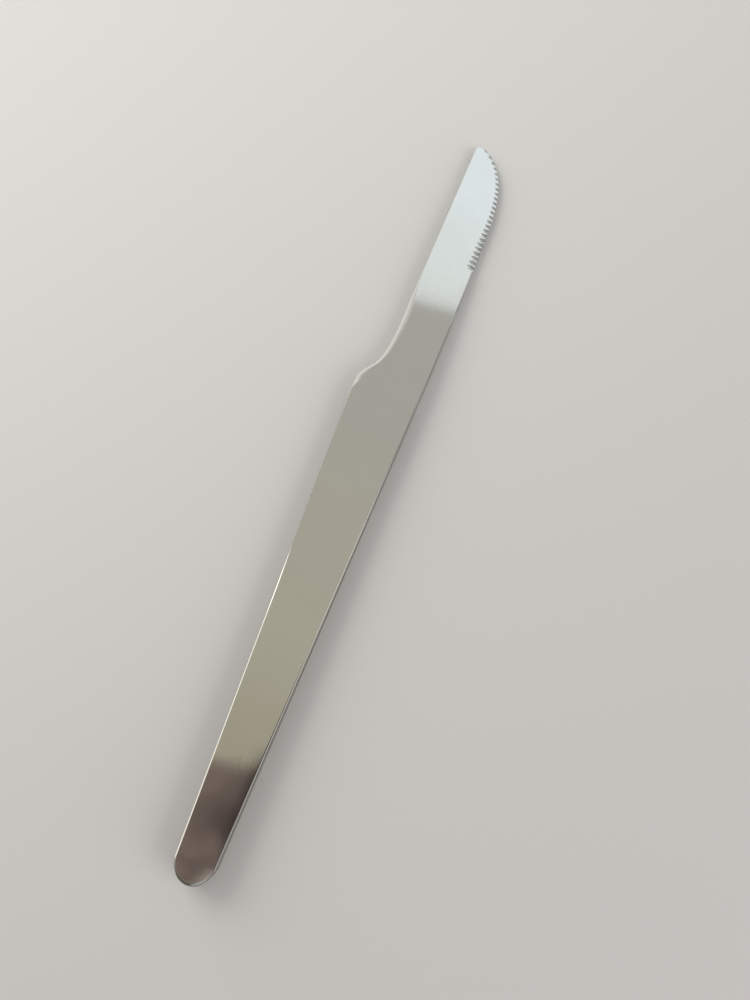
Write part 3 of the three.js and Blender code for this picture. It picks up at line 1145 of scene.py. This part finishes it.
class NodeSheet:
    """A material's or the world's nodes, added and joined by name."""

    mix_inputs = (6, 7)
    mix_output = 2

    def __init__(self, tree: bpy.types.NodeTree) -> None:
        """Starts on an empty tree."""
        self.tree = tree
        tree.nodes.clear()

    def add(self, kind: str, **settings: object) -> bpy.types.Node:
        """Adds a node.

        Args:
            kind: The node's type.
            settings: Its plain properties.

        Returns:
            The node.
        """
        node = self.tree.nodes.new(kind)
        for name, value in settings.items():
            setattr(node, name, value)
        return node

    def join(self, source: Socket, target: Socket) -> None:
        """Links one socket to another."""
        self.tree.links.new(source, target)

    def place(self, kind: Coordinates) -> Socket:
        """Returns the coordinates that a pattern reads."""
        return self.add("ShaderNodeTexCoord").outputs[kind.value]

    def mapped(self, scale: Triple, turn: float) -> Socket:
        """Turns object coordinates about the upright axis and stretches them.

        Args:
            scale: How many times the pattern repeats along each axis.
            turn: The angle of the turn.

        Returns:
            The coordinates.
        """
        mapping = self.add("ShaderNodeMapping", vector_type="TEXTURE")
        mapping.inputs["Rotation"].default_value = (0, 0, turn)
        mapping.inputs["Scale"].default_value = tuple(1 / share for share in scale)
        self.join(self.place(Coordinates.OBJECT), mapping.inputs["Vector"])
        return mapping.outputs["Vector"]

    def noise(self, vector: Socket, pattern: Pattern) -> Socket:
        """Adds a noise pattern.

        Args:
            vector: The coordinates that it reads.
            pattern: Its numbers.

        Returns:
            The pattern's value.
        """
        node = self.add("ShaderNodeTexNoise")
        node.inputs["Scale"].default_value = pattern.scale
        node.inputs["Detail"].default_value = pattern.detail
        node.inputs["Roughness"].default_value = pattern.roughness
        self.join(vector, node.inputs["Vector"])
        return node.outputs["Fac"]

    def ranged(
        self, value: Socket, source: Span, target: Span = FULL, smooth: bool = False
    ) -> Socket:
        """Carries a value from one range to another and holds it at the ends.

        Args:
            value: The value.
            source: The range that it comes from.
            target: The range that it goes to.
            smooth: Whether the change is soft at both ends.

        Returns:
            The new value.
        """
        node = self.add("ShaderNodeMapRange")
        node.interpolation_type = "SMOOTHSTEP" if smooth else "LINEAR"
        node.inputs["From Min"].default_value, node.inputs["From Max"].default_value = source
        node.inputs["To Min"].default_value, node.inputs["To Max"].default_value = target
        self.join(value, node.inputs["Value"])
        return node.outputs["Result"]

    def facing(self, direction: Socket, towards: Triple) -> Socket:
        """Measures how far a direction or a place points towards a fixed direction.

        Args:
            direction: The direction or the place.
            towards: The fixed direction.

        Returns:
            The scalar product of both.
        """
        node = self.add("ShaderNodeVectorMath", operation="DOT_PRODUCT")
        self.join(direction, node.inputs[0])
        node.inputs[1].default_value = towards
        return node.outputs["Value"]

    def sum(self, first: Socket, second: Socket, kind: str = "ADD") -> Socket:
        """Puts two values together.

        Args:
            first: The first value.
            second: The second value.
            kind: How they are put together.

        Returns:
            The result.
        """
        node = self.add("ShaderNodeMath", operation=kind)
        self.join(first, node.inputs[0])
        self.join(second, node.inputs[1])
        return node.outputs[0]

    def mixed(
        self,
        share: Socket,
        first: Socket | Colour,
        second: Socket | Colour,
    ) -> Socket:
        """Mixes two colours.

        Args:
            share: The second colour's share.
            first: A socket or a plain colour.
            second: A socket or a plain colour.

        Returns:
            The mixed colour.
        """
        node = self.add("ShaderNodeMix", data_type="RGBA")
        self.join(share, node.inputs["Factor"])
        for number, colour in zip(self.mix_inputs, (first, second)):
            if isinstance(colour, tuple):
                node.inputs[number].default_value = colour
            else:
                self.join(colour, node.inputs[number])
        return node.outputs[self.mix_output]

    def bump(self, shader: bpy.types.Node, height: Socket, strength: float, deep: float) -> None:
        """Gives a shader fine relief.

        Args:
            shader: The shader.
            height: The pattern that stands out.
            strength: How strongly it stands out.
            deep: The relief's height, in metres.
        """
        node = self.add("ShaderNodeBump")
        node.inputs["Strength"].default_value = strength
        node.inputs["Distance"].default_value = deep
        self.join(height, node.inputs["Height"])
        self.join(node.outputs["Normal"], shader.inputs["Normal"])


def start_material(name: str) -> tuple[bpy.types.Material, NodeSheet, bpy.types.Node]:
    """Starts a material with one shader.

    Args:
        name: The material's name.

    Returns:
        The material, its sheet of nodes and its shader.
    """
    material = bpy.data.materials.new(name)
    material.use_nodes = True
    sheet = NodeSheet(material.node_tree)
    shader = sheet.add("ShaderNodeBsdfPrincipled")
    output = sheet.add("ShaderNodeOutputMaterial")
    sheet.join(shader.outputs["BSDF"], output.inputs["Surface"])
    return material, sheet, shader


@dataclass(frozen=True)
class Scratches:
    """One family of fine parallel scratches."""

    turn: float
    along: float
    across: float
    reach: Span
    lines: Pattern = Pattern(1.0, 1.0)


@dataclass(frozen=True)
class Steel:
    """Polished stainless steel with fine wear scratches and smudges, and painted shade on its
    rougher steep sides.
    """

    name: str
    clean: Colour = (0.785, 0.79, 0.78, 1.0)
    worn: Colour = (0.772, 0.776, 0.766, 1.0)
    roughness: Span = (0.035, 0.06)
    # ground is painted shade: a darker colour that the steep sides take, standing in for the shade
    # along the knife's sides.
    ground: Colour = (0.43, 0.418, 0.395, 1.0)
    ground_roughness: float = 0.2
    edge_tint: Colour = (0.8, 0.78, 0.75, 1.0)
    shaded_side_slope: Span = (0.4, 0.15)
    smudge: Pattern = Pattern(160.0, 4.0, 0.6)
    smudge_colour_span: Span = (0.35, 0.7)
    smudge_rough_span: Span = (0.35, 0.75)
    scratch_roughness: float = 0.05
    scratch_strength: float = 0.015
    scratch_height: float = 0.00002
    families: tuple[Scratches, ...] = (
        Scratches(math.radians(4), 60.0, 5200.0, (0.66, 0.74)),
        Scratches(math.radians(38), 130.0, 4300.0, (0.70, 0.76)),
        Scratches(math.radians(-61), 150.0, 3900.0, (0.71, 0.77)),
    )

    def material(self) -> bpy.types.Material:
        """Builds the material.

        Returns:
            The material, metallic all over.
        """
        material, sheet, shader = start_material(self.name)
        shader.inputs["Metallic"].default_value = 1.0
        shader.inputs["Specular Tint"].default_value = self.edge_tint
        smudge = sheet.noise(sheet.place(Coordinates.OBJECT), self.smudge)
        scratch = None
        for family in self.families:
            place = sheet.mapped((family.along, family.across, family.across), family.turn)
            lines = sheet.ranged(sheet.noise(place, family.lines), family.reach)
            scratch = lines if scratch is None else sheet.sum(scratch, lines, "MAXIMUM")
        wear = sheet.ranged(smudge, self.smudge_colour_span, smooth=True)
        colour = sheet.mixed(wear, self.clean, self.worn)
        # Painted shade: faces whose normal lies near level take the darker ground colour, and more
        # roughness.
        upright = sheet.facing(sheet.add("ShaderNodeNewGeometry").outputs["Normal"], UP)
        steep, level = self.shaded_side_slope
        side = sheet.ranged(sheet.sum(upright, upright, "MULTIPLY"), (steep**2, level**2))
        sheet.join(sheet.mixed(side, colour, self.ground), shader.inputs["Base Color"])
        rough = sheet.ranged(smudge, self.smudge_rough_span, self.roughness)
        rough = sheet.sum(rough, sheet.ranged(scratch, FULL, (0.0, self.scratch_roughness)))
        rough = sheet.sum(rough, sheet.ranged(side, FULL, (0.0, self.ground_roughness)))
        sheet.join(rough, shader.inputs["Roughness"])
        sheet.bump(shader, scratch, self.scratch_strength, self.scratch_height)
        return material


SHELL_STEEL = Steel("polished_shell_steel")
# The blade's steep sides and groove walls get a paler painted shade.
BLADE_STEEL = Steel("polished_blade_steel", ground=(0.62, 0.615, 0.6, 1.0))


@dataclass(frozen=True)
class Braze:
    """Pale braze metal, ground and polished flush with the steel."""

    name: str = "seam_braze"
    bright: Colour = (0.76, 0.72, 0.62, 1.0)
    dull: Colour = (0.66, 0.60, 0.48, 1.0)
    grain: Pattern = Pattern(900.0, 4.0)
    grain_span: Span = (0.3, 0.7)
    roughness: Span = (0.18, 0.3)

    def material(self) -> bpy.types.Material:
        """Builds the material.

        Returns:
            The material, metallic all over.
        """
        material, sheet, shader = start_material(self.name)
        shader.inputs["Metallic"].default_value = 1.0
        grain = sheet.noise(sheet.place(Coordinates.OBJECT), self.grain)
        sheet.join(sheet.mixed(grain, self.bright, self.dull), shader.inputs["Base Color"])
        rough = sheet.ranged(grain, self.grain_span, self.roughness)
        sheet.join(rough, shader.inputs["Roughness"])
        return material


@dataclass(frozen=True)
class Cement:
    """Matt grey cement, cast round the tang."""

    name: str = "set_cement"
    pale: Colour = (0.48, 0.45, 0.40, 1.0)
    dark: Colour = (0.30, 0.28, 0.25, 1.0)
    grain: Pattern = Pattern(1400.0, 8.0, 0.7)
    grain_span: Span = (0.3, 0.7)
    roughness: Span = (0.8, 0.97)
    grain_strength: float = 0.4
    grain_height: float = 0.0001

    def material(self) -> bpy.types.Material:
        """Builds the material.

        Returns:
            The material, rough all over.
        """
        material, sheet, shader = start_material(self.name)
        grain = sheet.noise(sheet.place(Coordinates.OBJECT), self.grain)
        sheet.join(sheet.mixed(grain, self.pale, self.dark), shader.inputs["Base Color"])
        rough = sheet.ranged(grain, self.grain_span, self.roughness)
        sheet.join(rough, shader.inputs["Roughness"])
        sheet.bump(shader, grain, self.grain_strength, self.grain_height)
        return material


@dataclass(frozen=True)
class Limit:
    """A soft limit on directions: how far from one direction a patch of the room reaches."""

    towards: Triple
    outer: float
    inner: float


@dataclass(frozen=True)
class RoomPatch:
    """A soft patch of the room, seen in the directions that lie within all of its limits."""

    name: str
    limits: tuple[Limit, ...]
    colour: Colour
    mottled: Colour | None = None


# Later patches cover earlier ones.
ROOM: tuple[RoomPatch, ...] = (
    RoomPatch("middle ceiling", (Limit(TO_TIP, 93.0, 84.0),), (0.47, 0.44, 0.355, 1.0)),
    RoomPatch("cool ceiling", (Limit(TO_TIP, 84.0, 61.0),), (0.455, 0.442, 0.405, 1.0)),
    RoomPatch("walls", (Limit(DOWN, 148.0, 123.0),), (0.66, 0.65, 0.62, 1.0)),
    RoomPatch(
        "curtain",
        (Limit(TO_EDGE, 74.0, 66.0), Limit(TO_TIP, 80.0, 72.0)),
        (0.32, 0.335, 0.32, 1.0),
    ),
    RoomPatch(
        "back wall",
        (Limit(TO_BACK, 64.0, 56.0), Limit(TO_BUTT, 112.0, 108.0)),
        (0.41, 0.395, 0.35, 1.0),
    ),
    RoomPatch(
        "side wall",
        (Limit((0.811, 0.586, 0.0), 64.2, 40.0), Limit(TO_TIP, 75.0, 63.0)),
        (0.80, 0.78, 0.72, 1.0),
    ),
    RoomPatch(
        "wall corner",
        (
            Limit((0.8, 0.6, 0.0), 63.5, 62.5),
            Limit(TO_EDGE, 101.5, 96.0),
            Limit(TO_TIP, 64.0, 61.0),
        ),
        (0.80, 0.80, 0.75, 1.0),
    ),
    RoomPatch(
        "far wall",
        (Limit((0.995, 0.0995, 0.0), 58.65, 57.5), Limit(TO_EDGE, 112.0, 103.0)),
        (0.84, 0.885, 0.86, 1.0),
    ),
    RoomPatch(
        "far window",
        (Limit(TO_TIP, 57.5, 52.0), Limit(TO_EDGE, 112.0, 103.0)),
        (0.90, 0.97, 0.99, 1.0),
    ),
    RoomPatch(
        "window",
        (Limit(TO_BACK, 64.0, 56.0), Limit(TO_BUTT, 98.9, 97.2), Limit(TO_TIP, 108.7, 104.5)),
        (1.2, 1.14, 1.0, 1.0),
    ),
    RoomPatch(
        "bright window",
        (Limit(TO_BACK, 64.0, 56.0), Limit(TO_BUTT, 98.9, 97.2), Limit(TO_TIP, 86.0, 84.2)),
        (2.0, 1.9, 1.7, 1.0),
    ),
    RoomPatch(
        "dark wall",
        (Limit(TO_BUTT, 76.0, 70.0), Limit(TO_BACK, 48.0, 58.0)),
        (0.125, 0.115, 0.096, 1.0),
    ),
    RoomPatch(
        "dark curtain",
        (Limit(TO_EDGE, 82.0, 74.0), Limit(TO_BUTT, 96.0, 86.0), Limit(UP, 80.0, 70.0)),
        (0.085, 0.074, 0.067, 1.0),
    ),
    RoomPatch(
        "low screen",
        (Limit(TO_EDGE, 93.4, 86.0), Limit(TO_BUTT, 79.0, 72.0), Limit(UP, 68.0, 58.0)),
        (0.43, 0.44, 0.43, 1.0),
    ),
    RoomPatch(
        "dark side",
        (Limit(TO_EDGE, 62.0, 55.0), Limit(TO_BUTT, 96.0, 86.0), Limit(UP, 80.0, 70.0)),
        (0.1, 0.088, 0.078, 1.0),
    ),
    RoomPatch(
        "shelf",
        (
            Limit((-0.986, -0.164, 0.0), 88.2, 87.15),
            Limit(TO_BACK, 72.0, 80.0),
            Limit(TO_TIP, 104.0, 102.0),
            Limit(UP, 36.0, 26.0),
        ),
        (0.20, 0.15, 0.128, 1.0),
        (0.15, 0.112, 0.097, 1.0),
    ),
    RoomPatch(
        "shelf shade", (Limit((-0.121, 0.117, 0.986), 1.5, 0.2),), (0.10, 0.074, 0.064, 1.0)
    ),
    RoomPatch(
        "dark corner",
        (
            Limit(TO_BUTT, 88.5, 86.0),
            Limit(TO_EDGE, 97.0, 95.9),
            Limit(TO_TIP, 100.5, 97.5),
            Limit(UP, 36.0, 26.0),
        ),
        (0.05, 0.038, 0.034, 1.0),
    ),
    RoomPatch(
        "pale door",
        (Limit(TO_BUTT, 79.9, 78.3), Limit(TO_EDGE, 97.4, 96.0), Limit(UP, 22.0, 15.0)),
        (0.46, 0.39, 0.345, 1.0),
    ),
    RoomPatch(
        "low light",
        (
            Limit(TO_EDGE, 80.0, 70.0),
            Limit(DOWN, 124.0, 114.0),
            Limit(TO_TIP, 103.0, 86.0),
            Limit(TO_BUTT, 107.0, 100.0),
        ),
        (0.74, 0.71, 0.67, 1.0),
    ),
)


@dataclass(frozen=True)
class Lamp:
    """A large soft lamp that points at the middle of the table."""

    name: str
    place: Triple
    size: float
    power: float


@dataclass
class Studio:
    """The table top, the even light of a pale room, and the camera."""

    table_size: float = 1.3
    # The table's colour runs from painted light to painted shade across it, for the fall-off of
    # the lamps' light.
    table_lit_colour: Colour = (0.745, 0.735, 0.695, 1.0)
    table_shaded_colour: Colour = (0.64, 0.612, 0.59, 1.0)
    table_shade_slope: Triple = (0.6, 0.8, 0.0)
    table_shade_span: Span = (-0.14, 0.16)
    table_roughness: float = 0.55
    ceiling: Colour = (0.42, 0.385, 0.29, 1.0)
    daylight: Colour = (0.42, 0.42, 0.42, 1.0)
    background: Colour = (0.60, 0.59, 0.57, 1.0)
    blots: Pattern = Pattern(26.0, 1.0)
    blot_span: Span = (0.4, 0.62)
    patches: tuple[RoomPatch, ...] = ROOM
    eye: Triple = (-0.05507, -0.02602, 0.2025)
    right: Triple = (0.35380, -0.93532, 0.0)
    up: Triple = (0.90345, 0.34174, 0.25882)
    back: Triple = (-0.24208, -0.09157, 0.96593)
    focal_pixels: float = 838.0
    frame_pixels: float = 1000.0
    sensor: float = 24.0
    clip: Span = (0.005, 50.0)
    lamps: tuple[Lamp, ...] = (
        Lamp("window_lamp", (0.28, 0.66, 0.36), 0.7, 5.1),
        Lamp("fill_lamp", (-0.15, -0.75, 0.36), 0.7, 3.6),
    )

    def build_table(self) -> None:
        """Lays the table top under the knife, its colour painted paler towards the window lamp and
        darker away from it, a painted light and shade gradient.
        """
        Bench.clear()
        bpy.ops.mesh.primitive_plane_add(size=self.table_size, location=(0, 0, 0))
        table = bpy.context.active_object
        table.name = "table_top"
        material, sheet, shader = start_material("table_paint")
        shader.inputs["Roughness"].default_value = self.table_roughness
        # Painted shade: the colour darkens along a slope across the table, as the lamps' light
        # falls off.
        along = sheet.facing(sheet.place(Coordinates.OBJECT), self.table_shade_slope)
        share = sheet.ranged(along, self.table_shade_span, smooth=True)
        paint = sheet.mixed(share, self.table_shaded_colour, self.table_lit_colour)
        sheet.join(paint, shader.inputs["Base Color"])
        table.data.materials.append(material)

    def build_room(self) -> None:
        """Makes the world a pale room, which the steel mirrors, with even light on the table."""
        world = bpy.data.worlds.new("pale_room")
        bpy.context.scene.world = world
        world.use_nodes = True
        sheet = NodeSheet(world.node_tree)
        direction = sheet.place(Coordinates.DIRECTION)
        colour: Socket | Colour = self.ceiling
        for patch in self.patches:
            share = None
            for limit in patch.limits:
                reach = (math.cos(math.radians(limit.outer)), math.cos(math.radians(limit.inner)))
                near = sheet.facing(direction, Vector(limit.towards).normalized())
                near = sheet.ranged(near, reach, smooth=True)
                share = near if share is None else sheet.sum(share, near, "MULTIPLY")
            paint = patch.colour
            if patch.mottled:
                blots = sheet.noise(direction, self.blots)
                blots = sheet.ranged(blots, self.blot_span, smooth=True)
                paint = sheet.mixed(blots, patch.colour, patch.mottled)
            colour = sheet.mixed(share, colour, paint)
            colour.node.label = patch.name
        path = sheet.add("ShaderNodeLightPath")
        colour = sheet.mixed(path.outputs["Is Glossy Ray"], self.daylight, colour)
        colour = sheet.mixed(path.outputs["Is Camera Ray"], colour, self.background)
        light = sheet.add("ShaderNodeBackground")
        light.inputs["Strength"].default_value = 1.0
        sheet.join(colour, light.inputs["Color"])
        output = sheet.add("ShaderNodeOutputWorld")
        sheet.join(light.outputs["Background"], output.inputs["Surface"])

    def build_lamps(self) -> None:
        """Hangs the soft lamps, which brighten the table from both long sides of the knife."""
        for lamp in self.lamps:
            Bench.clear()
            bpy.ops.object.light_add(type="AREA", location=lamp.place)
            obj = bpy.context.active_object
            obj.name = lamp.name
            obj.data.shape = "SQUARE"
            obj.data.size = lamp.size
            obj.data.energy = lamp.power
            obj.rotation_euler = (-Vector(lamp.place)).to_track_quat("-Z", "Y").to_euler()
            obj.visible_glossy = False

    def build_camera(self) -> None:
        """Sets the camera at the viewing angle of the photograph."""
        data = bpy.data.cameras.new("camera")
        data.sensor_fit = "VERTICAL"
        data.sensor_height = self.sensor
        data.lens = self.sensor * self.focal_pixels / self.frame_pixels
        data.clip_start, data.clip_end = self.clip
        camera = bpy.data.objects.new("camera", data)
        bpy.context.scene.collection.objects.link(camera)
        turn = Matrix((self.right, self.up, self.back)).transposed().to_4x4()
        camera.matrix_world = Matrix.Translation(self.eye) @ turn
        bpy.context.scene.camera = camera

    def build(self) -> None:
        """Builds the surroundings."""
        self.build_table()
        self.build_room()
        self.build_lamps()
        self.build_camera()
        bpy.context.scene.view_settings.view_transform = "Standard"


def main() -> None:
    """Builds the knife and its surroundings."""
    logging.basicConfig(level=logging.INFO, format="%(name)s %(message)s")
    form = KnifeForm()
    handle = Handle(form)
    blade = Blade(form)
    pieces = handle.build() + blade.build()
    Seat(form).place(pieces)
    handle.dress(SHELL_STEEL, Braze())
    blade.dress(BLADE_STEEL)
    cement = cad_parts["tang_cement"]
    Bench.paint(cement, Cement().material())
    Studio().build()


if __name__ == "__main__":
    main()
